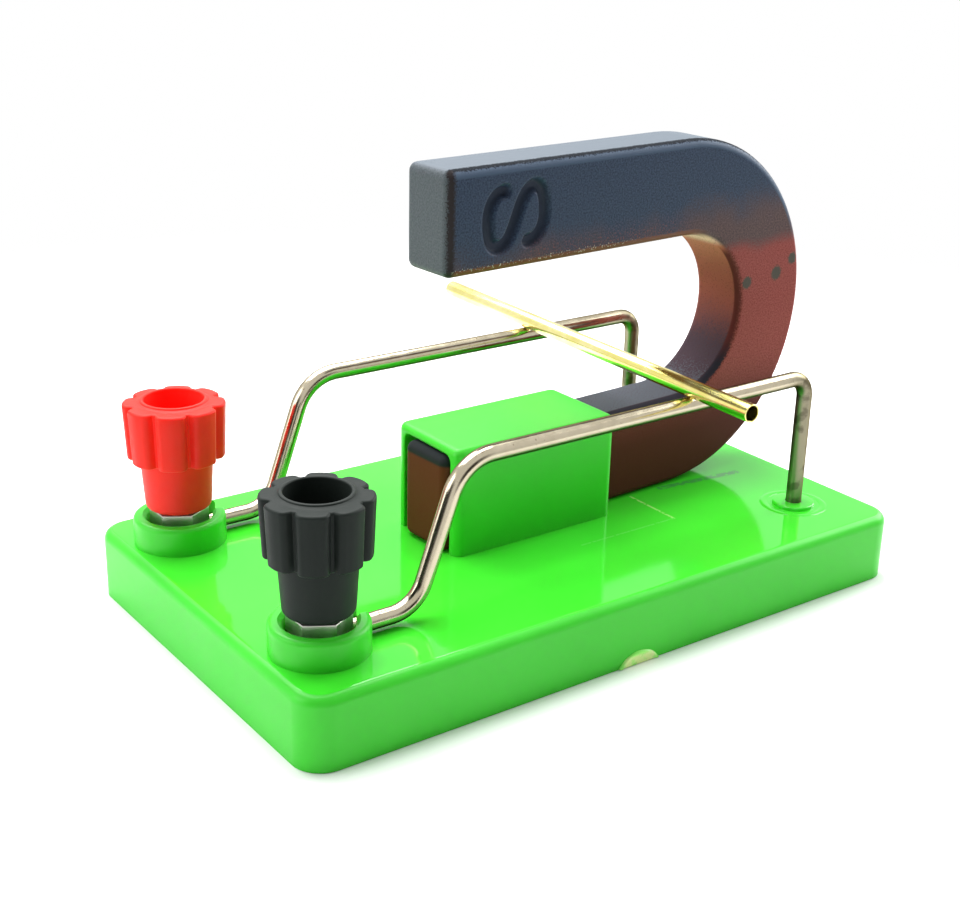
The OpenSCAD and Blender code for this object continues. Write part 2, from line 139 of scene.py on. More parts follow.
def mask(tree, *limits):
    """1 where every limit is met: a value, the level where it begins and where it is full."""
    whole = 1
    for value, begin, full in limits:
        span = {"Value": value, "From Min": begin, "From Max": full, "To Max": whole}
        whole = add(tree, "MapRange", span, interpolation_type="SMOOTHSTEP")
    return whole


def coats(tree, ground, *layers):
    """A ground colour with layers over it; each is a colour, then a mask or a mask's limits."""
    for top, *cover in layers:
        factor = mask(tree, *cover) if isinstance(cover[0], tuple) else cover[0]
        ground, top = (colour(tone) if isinstance(tone, str) else tone for tone in (ground, top))
        ground = add(tree, "Mix", {"Factor": factor, "A": ground, "B": top}, data_type="RGBA")
    return ground


# %% [markdown]
# ## Green moulded plastic
# The base is injection-moulded ABS. Its pigment goes right through, with faint clouds where the
# melt flowed, but the satin faces are given a slightly darker green than the polished top as
# painted shade.
# The mould was polished only where it made the plate's top, so that face mirrors what stands on it
# and the rest is satin: two materials from one recipe. Light goes a little way into the plastic,
# which makes its edges and thin walls glow. A few dark specks are burnt grains in the cheap melt,
# and a dark line runs on the top just in front of the magnet's lower limb.
# Two pale lines meet at a corner beside the sleeve, where a separate insert sat in the mould. Each
# of these marks is the distance to a line between two points, broken up by noise. The skin's grain
# is drawn coarser than it is, so that it shows. Where a noise sets the gloss, the middle of its
# range is spread out, because it seldom leaves that.

# %% Green moulded plastic
PLATE_HEIGHT = 9.8
ABS_IOR = 1.52
SPECK_SPACING = 9
SPECK_RADIUS = 0.16
NOISE_SPAN = {"From Min": 0.3, "From Max": 0.7}
# A dark green line on the plate's top, just in front of the magnet's lower limb beyond the sleeve.
DARK_LINE_BY_MAGNET = ((26.8, -3.7), (41.2, -5.2), 0.9, "#46b04e")
INSERT_END = ((20.7, -3.8), (20.7, -13.4), 0.3, "#a4f07c")
INSERT_SIDE = ((3.5, -13.3), (20.7, -13.4), 0.25, "#62e856")


def line_gap(tree, place, start, end):
    """Distance to a straight line between two points of the plate's top, in mm."""
    first = Vector((*start, PLATE_HEIGHT))
    run = Vector((*end, PLATE_HEIGHT)) - first
    rate = run / run.length_squared
    across = add(tree, "VectorMath", {0: place, 1: first}, operation="SUBTRACT")
    share = add(tree, "VectorMath", {0: across, 1: rate}, operation="DOT_PRODUCT")
    share = add(tree, "Clamp", {"Value": share})
    nearest = add(tree, "VectorMath", {0: run, "Scale": share}, operation="SCALE")
    return add(tree, "VectorMath", {0: across, 1: nearest}, operation="DISTANCE")


def green_plastic(tree, place, tone, cloud_tone, shine, smooth, rough, marks=()):
    """Bright green ABS with faint clouds and burnt specks; it is as glossy as its mould."""
    cloud, grain, wipe, wave = (
        add(tree, "TexNoise", {"Vector": place, "Scale": 1 / size, "Detail": detail})
        for size, detail in ((16, 2), (0.7, 4), (11, 3), (22, 1))
    )
    cells = add(tree, "TexVoronoi", {"Vector": place, "Scale": 1 / SPECK_SPACING})
    rim = SPECK_RADIUS / SPECK_SPACING
    layers = [
        (cloud_tone, cloud),
        ("#1d5c1c", (cells, rim, rim / 2), (cells.outputs["Color"], 0.62, 0.63)),
    ]
    for start, end, width, mark_tone in marks:
        gap = line_gap(tree, place, start, end)
        layers.append((mark_tone, (gap, width, width / 4), (grain, 0.36, 0.5)))
    gloss = add(tree, "MapRange", {"Value": wipe, **NOISE_SPAN, "To Min": smooth, "To Max": rough})
    sink = add(tree, "Bump", {"Height": wave, "Strength": 0.12, "Distance": 0.6 * MM})
    skin = add(tree, "Bump", {
        "Height": grain, "Strength": 0.05, "Distance": 0.05 * MM, "Normal": sink,
    })
    return add(tree, "BsdfPrincipled", {
        "Base Color": coats(tree, tone, *layers), "Roughness": gloss, "Normal": skin,
        "IOR": ABS_IOR, "Specular IOR Level": shine, "Subsurface Weight": 0.35,
        "Subsurface Radius": (0.3, 1.0, 0.25), "Subsurface Scale": 1.5 * MM,
    })


def torn_plastic(tree, place):
    """ABS where the sprue was broken off, lumpy and wet-looking; pale partly from stress-whitening,
    partly as painted glow.
    """
    lump = add(tree, "TexNoise", {"Vector": place, "Scale": 1 / 1.1, "Detail": 2})
    along, _, height = add(tree, "SeparateXYZ", {0: place}).outputs
    middle = ((lump, 0.25, 0.5), (along, -3.2, -2.2), (along, 3.2, 2.2), (height, 1.7, 1.1))
    # Pale tones: partly stress-whitening, partly painted glow of light through the plastic.
    pale = coats(tree, "#98ff6a", ("#e8ffa8", *middle))
    relief = add(tree, "Bump", {"Height": lump, "Strength": 0.6, "Distance": 0.2 * MM})
    return add(tree, "BsdfPrincipled", {
        "Base Color": pale, "Roughness": 0.22, "IOR": ABS_IOR, "Normal": relief,
    })


SATIN, TORN, POLISHED = range(3)
base_finish = [
    make_material(
        "moulded_abs_satin", green_plastic,
        # The satin green is set darker than the polished green: painted shade on those faces.
        tone="#38ca27", cloud_tone="#42d531", shine=0.3, smooth=0.32, rough=0.4,
    ),
    make_material("torn_abs_pale", torn_plastic),
    make_material(
        "moulded_abs_polished", green_plastic,
        tone="#3fde2c", cloud_tone="#4ae838", shine=0.5, smooth=0.05, rough=0.11,
        marks=(DARK_LINE_BY_MAGNET, INSERT_END, INSERT_SIDE),
    ),
]

# %% [markdown]
# ## Helpers for shaping
# Every piece is shaped in millimetres and made metres at the end. The box of a CAD node gives the
# lengths that its piece has to keep. Edges are picked by the level they lie at or the way they run,
# and a bevel rounds them.

# %% Shaping helpers
MERGE = 0.0005
ALIGNED = 0.99
X, Y, Z = (Vector(axis) for axis in Matrix.Identity(3))


def box_mm(node):
    """Lowest and highest corner of a CAD node, in mm."""
    return [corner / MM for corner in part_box(node)]


def block(size, centre):
    """A plain block of a size about a centre, to be bevelled or to cut with."""
    bm = bmesh.new()
    bmesh.ops.create_cube(bm, size=1, matrix=Matrix.LocRotScale(centre, None, size))
    bm.normal_update()
    return bm


def edges_at(bm, axis, level):
    """The edges that lie wholly at one level of an axis."""
    return [e for e in bm.edges if all(abs(v.co.dot(axis) - level) < MERGE for v in e.verts)]


def edges_along(bm, axis):
    """The straight edges that run along one axis."""
    runs = ((e, e.verts[0].co - e.verts[1].co) for e in bm.edges)
    return [e for e, run in runs if abs(run.normalized().dot(axis)) > ALIGNED]


def bevel(bm, edges, radius, segments=6, affect="EDGES"):
    """Rounds edges, or corners of an outline, with a true arc."""
    bmesh.ops.bevel(
        bm, geom=edges, offset=radius, offset_type="OFFSET", affect=affect,
        segments=segments, profile=0.5, material=-1, clamp_overlap=True,
    )


def only(made, kind):
    """The points or the edges among what an operator made."""
    return [element for element in made if isinstance(element, kind)]


def move(bm, *steps):
    """Moves a whole body by turns and shifts, the last one first."""
    for step in reversed(steps):
        bmesh.ops.transform(bm, matrix=step, verts=bm.verts)


def solid(name, bm):
    """Puts a finished bmesh into an object."""
    mesh = bpy.data.meshes.new(name)
    bm.to_mesh(mesh)
    bm.free()
    piece = bpy.data.objects.new(name, mesh)
    bpy.context.scene.collection.objects.link(piece)
    return piece


base_low, base_high = box_mm("base")
print("base in mm:", [round(value, 1) for value in base_high - base_low])

# %% [markdown]
# ## Moulded base: the plate
# The plate is an upturned tray, because moulded plastic keeps one wall thickness. A block could be
# modelled and hollowed with a Boolean, but bevel, inset and extrude keep its faces clean: the
# upright corners are bevelled first, then the edge round the top, and the underside is inset by one
# wall and pushed up.

# %% Plate
PLATE_CORNER = 4
PLATE_EDGE = 1.4
PLATE_WALL = 2
PLATE_TOP = 2.4

plate_length = base_high.x - base_low.x
plate_width = base_high.y - base_low.y
plate = block((plate_length, plate_width, PLATE_HEIGHT), (0, 0, PLATE_HEIGHT / 2))
bevel(plate, edges_along(plate, Z), PLATE_CORNER, segments=10)
bevel(plate, edges_at(plate, Z, PLATE_HEIGHT), PLATE_EDGE, segments=7)
plate.normal_update()
underside = [f for f in plate.faces if f.normal.z < -ALIGNED]
bmesh.ops.inset_region(plate, faces=underside, thickness=PLATE_WALL, use_even_offset=True)
hollow = only(bmesh.ops.extrude_face_region(plate, geom=underside)["geom"], BMVert)
bmesh.ops.delete(plate, geom=underside, context="FACES_ONLY")
bmesh.ops.translate(plate, verts=hollow, vec=(0, 0, PLATE_HEIGHT - PLATE_TOP))
plate.normal_update()
for face in plate.faces:
    face.material_index = POLISHED if face.normal.z > ALIGNED else SATIN
base = solid("moulded_base", plate)
print("plate", round(plate_length), "x", round(plate_width), "mm")

# %% [markdown]
# ## Joining and cutting
# A moulding has one closed skin, with no faces hidden inside it. A Boolean gives that: it joins a
# body to a piece or cuts it out. The exact solver leaves some points doubled along the seam, so
# they are merged. Cutters run past what they cut and joined bodies are rooted a little deep, so the
# Boolean meets no two faces in one plane.

# %% Joining and cutting
OVERCUT = 1
ROOT_DEPTH = 0.5
ROOT = PLATE_HEIGHT - ROOT_DEPTH


def edit(piece):
    """A bmesh of a piece's own mesh, to work on further."""
    bm = bmesh.new()
    bm.from_mesh(piece.data)
    return bm


def combine(piece, tool, operation):
    """Joins a bmesh to a piece (UNION) or cuts it out (DIFFERENCE), and keeps one closed mesh."""
    other = solid("tool", tool)
    modifier = piece.modifiers.new("combine", "BOOLEAN")
    modifier.operation = operation
    modifier.solver = "EXACT"
    modifier.object = other
    graph = bpy.context.evaluated_depsgraph_get()
    mesh = bpy.data.meshes.new_from_object(piece.evaluated_get(graph))
    piece.modifiers.clear()
    piece.data = mesh
    bpy.data.objects.remove(other)
    bm = edit(piece)
    bmesh.ops.remove_doubles(bm, verts=bm.verts, dist=MERGE)
    bm.to_mesh(mesh)
    bm.free()


print("bodies are rooted at", ROOT, "mm")

# %% [markdown]
# ## Moulded base: the sleeve
# A box with a tunnel holds the magnet's lower limb. Its upright corners and the edge of its roof
# are rounded, the tunnel's two upper corners follow the magnet's, and the mouth has a small broken
# edge that catches the light.

# %% Sleeve
SLEEVE_LENGTH = 27.7
SLEEVE_WIDTH = 14.76
SLEEVE_CORNER = 1.4
SLEEVE_EDGE = 1.0
TUNNEL_WIDTH = 11.06
TUNNEL_TOP = PLATE_HEIGHT + 14.3
TUNNEL_FOOT = ROOT - OVERCUT
TUNNEL_CORNER = 1.0
MOUTH_BREAK = 0.25


def on_mouth(edge):
    """True on the edges where the tunnel comes out of the sleeve's ends."""
    middle = (edge.verts[0].co + edge.verts[1].co) / 2
    turned = sorted(abs(face.normal.x) for face in edge.link_faces)
    within = abs(middle.y) < TUNNEL_WIDTH / 2 + MERGE
    raised = ROOT + MERGE < middle.z < TUNNEL_TOP + MERGE
    return within and raised and turned[0] < 1 - ALIGNED and turned[-1] > ALIGNED


sleeve_top = base_high.z
sleeve = block(
    (SLEEVE_LENGTH, SLEEVE_WIDTH, sleeve_top - ROOT), (0, 0, (sleeve_top + ROOT) / 2)
)
bevel(sleeve, edges_along(sleeve, Z), SLEEVE_CORNER)
bevel(sleeve, edges_at(sleeve, Z, sleeve_top), SLEEVE_EDGE)
tunnel = block(
    (SLEEVE_LENGTH + 2 * OVERCUT, TUNNEL_WIDTH, TUNNEL_TOP - TUNNEL_FOOT),
    (0, 0, (TUNNEL_TOP + TUNNEL_FOOT) / 2),
)
tunnel_corners = [e for e in edges_along(tunnel, X) if e.verts[0].co.z > PLATE_HEIGHT]
bevel(tunnel, tunnel_corners, TUNNEL_CORNER, segments=4)
holder = solid("holder", sleeve)
combine(holder, tunnel, "DIFFERENCE")
sleeve = edit(holder)
bpy.data.objects.remove(holder)
bevel(sleeve, [e for e in sleeve.edges if on_mouth(e)], MOUTH_BREAK, segments=2)
combine(base, sleeve, "UNION")
print("sleeve top at", round(sleeve_top, 1), "mm")

# %% [markdown]
# ## Lathe
# Anything round is turned: an outline of (radius, height) points is spun about an upright axis.
# An arc in the outline becomes a rounded rim. A plain rod or hole has a radius, a foot and a top.

# %% Lathe
ROUND_STEPS = 64


def arc(centre, radius, start, end, steps=6):
    """Points of an outline along an arc, between two angles in degrees."""
    angles = [math.radians(start + (end - start) * i / steps) for i in range(steps + 1)]
    return [(centre[0] + radius * math.cos(a), centre[1] + radius * math.sin(a)) for a in angles]


def rod(radius, foot, top):
    """Outline of a plain rod or hole."""
    return [(0, foot), (radius, foot), (radius, top), (0, top)]


def lathe(outline, place=(0, 0), steps=ROUND_STEPS):
    """A closed body turned about an upright axis from (radius, height) points."""
    bm = bmesh.new()
    points = [bm.verts.new((radius, 0, height)) for radius, height in outline]
    lines = [bm.edges.new(pair) for pair in zip(points, points[1:])]
    bmesh.ops.spin(
        bm, geom=points + lines, cent=(0, 0, 0), axis=Z, angle=math.tau, steps=steps,
        use_merge=True,
    )
    bmesh.ops.remove_doubles(bm, verts=bm.verts, dist=MERGE)
    bmesh.ops.recalc_face_normals(bm, faces=bm.faces)
    move(bm, Matrix.Translation((place[0], place[1], 0)))
    return bm


print("turned pieces have", ROUND_STEPS, "steps")

# %% [markdown]
# ## Moulded base: bosses, pads and what is under them
# Each post stands in a round boss with a recess for the wire's eye and the nut, and a slot where
# the wire leaves. Wall, rounded rim and recess are one outline on the lathe. Each rail leg goes
# into a low pad, with a faint soft ridge round it where the mould's core pin sat. Under the plate
# hang a pillar for each post screw and a blind socket for each leg.

# %% Bosses, pads, pillars and sockets
SIDES = ("black", "red")
BOSS_RADIUS = 6.3
BOSS_TOP = PLATE_HEIGHT + 4
BOSS_EDGE = 0.7
BOSS_FLOOR = PLATE_HEIGHT + 0.4
RECESS_RADIUS = 4.5
LEAD_IN = 0.5
SLOT_WIDTH = 2.9
SCREW_HOLE_RADIUS = 2.2
PILLAR_RADIUS = 5.1
PILLAR_FOOT = 4.4
PAD_RADIUS = 3.1
PAD_TOP = PLATE_HEIGHT + 0.5
PAD_EDGE = 0.2
RIDGE_RADIUS = 4.4
RIDGE_TOP = PLATE_HEIGHT + 0.12
RIDGE_CURVE = 1.6
RIDGE_SPREAD = 50
SOCKET_RADIUS = 2.8
SOCKET_FOOT = 1.15
LEG_HOLE_RADIUS = 1.2
LEG_HOLE_FLOOR = 1.95
WIRE_RADIUS = 1.15
CLEAR = 0.03

boss = (
    [(0, ROOT), (BOSS_RADIUS, ROOT)]
    + arc((BOSS_RADIUS - BOSS_EDGE, BOSS_TOP - BOSS_EDGE), BOSS_EDGE, 0, 90)
    + [(RECESS_RADIUS + LEAD_IN, BOSS_TOP), (RECESS_RADIUS, BOSS_TOP - LEAD_IN)]
    + [(RECESS_RADIUS, BOSS_FLOOR), (0, BOSS_FLOOR)]
)
pad = (
    [(0, ROOT), (PAD_RADIUS, ROOT)]
    + arc((PAD_RADIUS - PAD_EDGE, PAD_TOP - PAD_EDGE), PAD_EDGE, 0, 90, steps=3)
    + [(0, PAD_TOP)]
)
ridge = arc(
    (RIDGE_RADIUS, RIDGE_TOP - RIDGE_CURVE), RIDGE_CURVE,
    90 - RIDGE_SPREAD, 90 + RIDGE_SPREAD, steps=10,
)
ridge.append(ridge[0])


def paint(bm, finish):
    """Gives all faces of a body one finish."""
    for face in bm.faces:
        face.material_index = finish
    return bm


posts = {}
legs = {}
for side in SIDES:
    nut_low, nut_high = box_mm(side + "_post_nut")
    post = (nut_low + nut_high) / 2
    leg = Vector((box_mm(side + "_rail")[1].x - WIRE_RADIUS, post.y))
    combine(base, lathe(boss, post), "UNION")
    combine(base, lathe(rod(PILLAR_RADIUS, PILLAR_FOOT, ROOT), post), "UNION")
    combine(base, lathe(rod(SOCKET_RADIUS, SOCKET_FOOT, ROOT), leg), "UNION")
    for outline in (pad, ridge):
        combine(base, paint(lathe(outline, leg), POLISHED), "UNION")
    slot_size = (BOSS_RADIUS + OVERCUT, SLOT_WIDTH, BOSS_TOP)
    slot_centre = (post.x + slot_size[0] / 2, post.y, BOSS_FLOOR + CLEAR + BOSS_TOP / 2)
    combine(base, block(slot_size, slot_centre), "DIFFERENCE")
    combine(base, lathe(rod(SCREW_HOLE_RADIUS, 0, BOSS_FLOOR + OVERCUT), post), "DIFFERENCE")
    combine(base, lathe(rod(LEG_HOLE_RADIUS, LEG_HOLE_FLOOR, BOSS_TOP), leg), "DIFFERENCE")
    posts[side] = post
    legs[side] = leg
print("posts at", [tuple(round(v, 1) for v in post) for post in posts.values()])

# %% [markdown]
# ## Moulded base: the gate scar
# Melt entered the mould at the front's lower edge. Where the sprue is broken off, a low half-round
# stub stays, with a rounded rim and a torn middle. Both are painted pale: partly the
# stress-whitening of torn plastic, partly painted glow of light through it. The stub is a wide disc
# on the lathe, turned to face the front, set into the wall with its centre below the table, and cut
# level there.

# %% Gate scar
GATE_WIDTH = 7
GATE_HEIGHT = 1.9
GATE_PROUD = 0.35
GATE_RIM = 0.7
GATE_DISH = 0.15
GATE_ROOT = 0.5

gate_radius = (GATE_WIDTH ** 2 / 4 + GATE_HEIGHT ** 2) / (2 * GATE_HEIGHT)
torn_radius = gate_radius - GATE_RIM
stub = paint(lathe(
    [(0, -GATE_ROOT), (gate_radius, -GATE_ROOT)]
    + arc((gate_radius - GATE_PROUD, 0), GATE_PROUD, 0, 90, steps=5)
    + [(torn_radius, GATE_PROUD - GATE_DISH), (0, GATE_PROUD - GATE_DISH)]
), TORN)
stub_place = (0, -plate_width / 2, GATE_HEIGHT - gate_radius)
move(stub, Matrix.Translation(stub_place), Matrix.Rotation(QUARTER, 4, "X"))
cut = bmesh.ops.bisect_plane(
    stub, geom=stub.verts[:] + stub.edges[:] + stub.faces[:],
    plane_co=Z * CLEAR, plane_no=-Z, clear_outer=True,
)["geom_cut"]
bmesh.ops.contextual_create(stub, geom=only(cut, BMEdge))
bmesh.ops.recalc_face_normals(stub, faces=stub.faces)
combine(base, stub, "UNION")
print("gate disc has a radius of", round(gate_radius, 2), "mm")

# %% [markdown]
# ## Dressing a piece
# A finished piece is made metres, gets its materials and is shaded by its edges: smooth where its
# faces nearly agree, sharp where they don't. Then it is tied to the body it rides on, and the CAD
# node it stands for is hidden. The base is the first one done.

# %% Dress the base
SHARP_ANGLE = math.radians(38)


def dress(piece, body, materials, node):
    """Makes a piece metres, shades it by its edges, ties it to its body and hides its CAD node."""
    piece.data.transform(Matrix.Scale(MM, 4))
    for material in materials:
        piece.data.materials.append(material)
    piece.data.shade_smooth()
    piece.data.set_sharp_from_angle(angle=SHARP_ANGLE)
    even = piece.modifiers.new("even shading", "WEIGHTED_NORMAL")
    even.keep_sharp = True
    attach(piece, body)
    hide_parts(node)
    print(piece.name, "has", len(piece.data.polygons), "faces")


dress(base, "stand", base_finish, "base")

# %% [markdown]
# ## Places on the horseshoe
# The lacquer's coats, lines and chips follow the horseshoe's own shape. A Mapping node brings a
# point into the magnet's frame. Five lengths then say where it lies: along the limbs from the
# poles, in from the near side, above the middle, and how deep it is under the U's inner face and
# under its outer face. A noise can make any of these lengths uneven.

# %% Places on the horseshoe
MAGNET_LIMB = 14
MAGNET_WIDTH = 9
MAGNET_INNER = 12.2
MAGNET_STRAIGHT = 44.2
MAGNET_SKEW = math.radians(3)
MAGNET_TIP = -14.85
MAGNET_CENTRE = MAGNET_INNER + MAGNET_LIMB

magnet_floor = box_mm("magnet")[0].z
magnet_place = (
    Matrix.Translation((0, 0, magnet_floor))
    @ Matrix.Rotation(MAGNET_SKEW, 4, "Z")
    @ Matrix.Translation((MAGNET_TIP, 0, 0))
)


def horseshoe_places(tree, place):
    """A point in the magnet's frame, and its lengths along, side, height, inner and outer."""
    own = add(tree, "Mapping", {
        "Vector": place, "Location": magnet_place.translation, "Rotation": Z * MAGNET_SKEW,
    }, vector_type="TEXTURE")
    axes = add(tree, "SeparateXYZ", {0: own})
    along = axes.outputs["X"]
    side = add(tree, "Math", {0: axes.outputs["Y"], 1: MAGNET_WIDTH / 2}, operation="ADD")
    height = add(tree, "Math", {0: axes.outputs["Z"], 1: MAGNET_CENTRE}, operation="SUBTRACT")
    past = add(tree, "Math", {0: along, 1: MAGNET_STRAIGHT}, operation="SUBTRACT")
    past = add(tree, "Math", {0: past, 1: 0}, operation="MAXIMUM")
    spoke = add(tree, "CombineXYZ", {"X": past, "Z": height})
    reach = add(tree, "VectorMath", {0: spoke}, operation="LENGTH")
    inner = add(tree, "Math", {0: reach, 1: MAGNET_INNER}, operation="SUBTRACT")
    outer = add(tree, "Math", {0: MAGNET_CENTRE, 1: reach}, operation="SUBTRACT")
    return own, along, side, height, inner, outer


def roughen(tree, length, grain, size):
    """A length made uneven by a noise, by up to half a size in mm either way."""
    swing = add(tree, "Math", {0: grain, 1: size, 2: -size / 2}, operation="MULTIPLY_ADD")
    return add(tree, "Math", {0: length, 1: swing}, operation="ADD")


print("magnet's floor at", round(magnet_floor, 2), "mm")

# %% [markdown]
# ## Lacquer colours
# The horseshoe is cast steel under sprayed lacquer: slate blue from the south pole down, red-brown
# over the other half. A spray dries in droplets, so its colour is grainy; they are drawn coarser
# than they are, so that they show. The inside got little of either coat and runs from rust above to
# overspray grey below, with a pale band near its top that is a painted highlight. The poles are
# nearly bare, and three chips show the steel.

# %% Lacquer colours
CHIPS = ((57.9, 3.3, 1.15), (64.5, 3.9, 1.3), (68.0, 5.8, 1.1))


def lacquer_tones(tree, height, fog, spray):
    """Grainy colours: the blue and brown coats, their haze, the U's inside and its poles."""
    speckle = mask(tree, (spray, 0.25, 0.75))
    dust = roughen(tree, roughen(tree, height, fog, 4), spray, 7)
    blue = coats(tree, "#212e42", ("#394a62", speckle))
    brown = coats(tree, "#7c352f", ("#9f504a", speckle), ("#521c10", (height, -7, -19)))
    smoke = coats(tree, "#46383a", ("#664f4e", speckle))
    # The inside's tones; the pale band near its top (#e4b4a4) is a painted highlight.
    rust_and_highlight = coats(
        tree, "#4e525a", ("#40313a", (dust, -11.8, -9.5)), ("#9a4e44", (dust, -7, 3)),
        ("#bc6a56", (dust, 3, 11)), ("#e4b4a4", (height, 9.4, 11)), ("#3a2424", (spray, 0.5, 0.9)),
    )
    steel = coats(tree, "#474e53", ("#5c6468", speckle))
    bare = coats(tree, "#602812", (steel, (height, 0, 1)))
    return blue, brown, smoke, rust_and_highlight, bare


def chip_layers(tree, own, spray):
    """Ragged round chips on the near side, where dull steel shows."""
    for along, level, size in CHIPS:
        middle = Vector((along, -MAGNET_WIDTH / 2, MAGNET_CENTRE + level))
        gap = add(tree, "VectorMath", {0: own, 1: middle}, operation="DISTANCE")
        ragged = roughen(tree, gap, spray, 0.8)
        yield "#4a453d", (ragged, size * 1.05, size * 0.65)


print("the lacquer has", len(CHIPS), "chips")

# %% [markdown]
# ## Magnet lacquer
# Between the two coats the sprays dried in a dark haze with grainy borders, which lies lower on the
# limb than on the bend. The long edges are dark where the lacquer drew back. Each of these is a
# layer, from the first coat to the last chip.

# %% Magnet lacquer
RED_TOP = 9.2
RED_BLUR = 1.3
HAZE_TOP = 17
HAZE_RISE = 2.5
HAZE_FALL = 5
HAZE_DROP = 2
HAZE_ON_LIMB = 38
HAZE_ON_BEND = 54


def magnet_lacquer(tree, place):
    """Sprayed lacquer on cast steel: satin, grainy, with an orange-peel skin and worn edges."""
    own, along, side, height, inner, outer = horseshoe_places(tree, place)
    fog, spray, peel = (
        add(tree, "TexNoise", {"Vector": own, "Scale": 1 / size, "Detail": detail})
        for size, detail in ((7, 6), (0.25, 2), (0.8, 3))
    )
    blue, brown, smoke, rust_and_highlight, bare = lacquer_tones(tree, height, fog, spray)
    torn_along, torn_side, torn_inner = (
        roughen(tree, length, spray, 0.9) for length in (along, side, inner)
    )
    drop = add(tree, "MapRange", {
        "Value": along, "From Min": HAZE_ON_LIMB, "From Max": HAZE_ON_BEND,
        "To Min": HAZE_DROP, "To Max": 0,
    })
    haze = roughen(tree, roughen(tree, height, fog, 8), spray, 5)
    haze = add(tree, "Math", {0: haze, 1: drop}, operation="ADD")
    red = roughen(tree, roughen(tree, height, fog, 3), spray, 3)
    crumb = mask(tree, (spray, 0.6, 0.66), (torn_inner, 0.7, 0.9), (torn_inner, 1.5, 1.3))
    inside = mask(tree, (inner, 0.6, 0.1))
    edge = mask(
        tree, (torn_side, 0.25, 0.6), (torn_side, 1.45, 1.0), (outer, 1.0, 0.6), (height, 8, 16)
    )
    layers = [
        # The haze, brown specks at its upper border, and the brown coat.
        (smoke, (haze, HAZE_TOP + HAZE_RISE, HAZE_TOP - HAZE_FALL)),
        ("#74423e", (spray, 0.54, 0.64), (height, 17, 13), (along, 11, 15), (along, 48, 40)),
        (brown, (red, RED_TOP + RED_BLUR, RED_TOP - RED_BLUR)),
        # The inside, and dark and rusty lines and pale crumbs along its edge.
        (rust_and_highlight, inside),
        ("#5c2523", (torn_inner, 1.0, 0.3), (side, 1.1, 0.8), (height, 10, 8)),
        ("#23202a", (torn_inner, 1.0, 0.6), (side, 1.2, 0.8), (height, -4, -9)),
        ("#6e4029", (torn_inner, 1.1, 0.9), (height, 6, 12), (along, 50, 44)),
        ("#c4bba4", (crumb, 0, 1), (height, 12.2, 12.8), (along, 36, 30)),
        # The outer edge: a paler crest, a painted highlight on the near rounding below it, and a
        # dark line.
        ("#5b656f", (outer, 0.35, 0.05), (height, 18, 24)),
        ("#44566c", (outer, 1.3, 1.0), (side, 0.6, 0.3), (height, 8, 16)),
        ("#0c131c", edge),
        # The bare poles, the dark edges round them, and the upper letter's groove floor, made
        # darker:
        # partly pooled paint, partly painted shade.
        (bare, (along, 0.9, 0.2)),
        ("#161c1e", (inner, 1.7, 1.2), (along, 1.8, 1.4), (height, 0, -1)),
        ("#272122", (torn_along, 0.1, 0.4), (torn_along, 1.6, 0.8), (side, 1.2, 0.7),
         (height, 0, 2)),
        ("#252f3f", (side, 0.1, 0.8), (side, 1.6, 1.2), (height, 0, 2), (along, 5, 5.3),
         (along, 19, 18.7), (inner, 1.6, 1.9), (outer, 1.6, 1.9)),
        *chip_layers(tree, own, spray),
    ]
    sheen = add(tree, "MapRange", {
        "Value": haze, "From Min": 0, "From Max": 18, "To Min": 0.72, "To Max": 0.48,
    })
    for cover, matt in ((inside, 0.85), (edge, 0.9)):
        sheen = add(tree, "Mix", {"Factor": cover, "A": sheen, "B": matt})
    skin = add(tree, "Bump", {"Height": peel, "Strength": 0.25, "Distance": 0.1 * MM})
    return add(tree, "BsdfPrincipled", {
        "Base Color": coats(tree, blue, *layers), "Roughness": sheen,
        "Specular IOR Level": 0.2, "Normal": skin,
    })


sprayed_lacquer = make_material("sprayed_lacquer", magnet_lacquer)

# %% [markdown]
# ## Horseshoe magnet
# A steel bar of rounded section is bent into a U. The mesh is made the same way: an oblong outline
# gets round corners from a corner bevel, and its ring of edges is fed along the lower limb, bent
# half a turn and fed back along the upper limb. Only the rings at the two poles are closed and
# rounded.

# %% Horseshoe magnet
MAGNET_EDGE = 1.2
MAGNET_TIP_EDGE = 1.5
BEND_STEPS = 56


def feed(bm, ring, step):
    """Draws a ring of edges out along a straight step and gives the ring at its end."""
    made = bmesh.ops.extrude_edge_only(bm, edges=ring)["geom"]
    points = only(made, BMVert)
    bmesh.ops.translate(bm, verts=points, vec=step)
    return [edge for edge in only(made, BMEdge) if set(edge.verts) <= set(points)]


def bend(bm, ring, centre, axis, angle, steps):
    """Swings a ring of edges about an axis, in degrees, and gives the ring at its end."""
    made = bmesh.ops.spin(
        bm, geom=ring, cent=centre, axis=axis, angle=math.radians(angle), steps=steps
    )["geom_last"]
    return only(made, BMEdge)


bar = bmesh.new()
half_width = MAGNET_WIDTH / 2
section = [
    (-half_width, 0), (half_width, 0), (half_width, MAGNET_LIMB), (-half_width, MAGNET_LIMB),
]
bar.faces.new([bar.verts.new((0, y, z)) for y, z in section])
bevel(bar, bar.verts[:], MAGNET_EDGE, affect="VERTICES")
bend_centre = (MAGNET_STRAIGHT, 0, MAGNET_CENTRE)
ring = feed(bar, bar.edges[:], X * MAGNET_STRAIGHT)
ring = bend(bar, ring, bend_centre, axis=-Y, angle=180, steps=BEND_STEPS)
ring = feed(bar, ring, -X * MAGNET_STRAIGHT)
bmesh.ops.contextual_create(bar, geom=ring)
bmesh.ops.recalc_face_normals(bar, faces=bar.faces)
bevel(bar, edges_at(bar, X, 0), MAGNET_TIP_EDGE)
print("bar has", len(bar.faces), "faces")

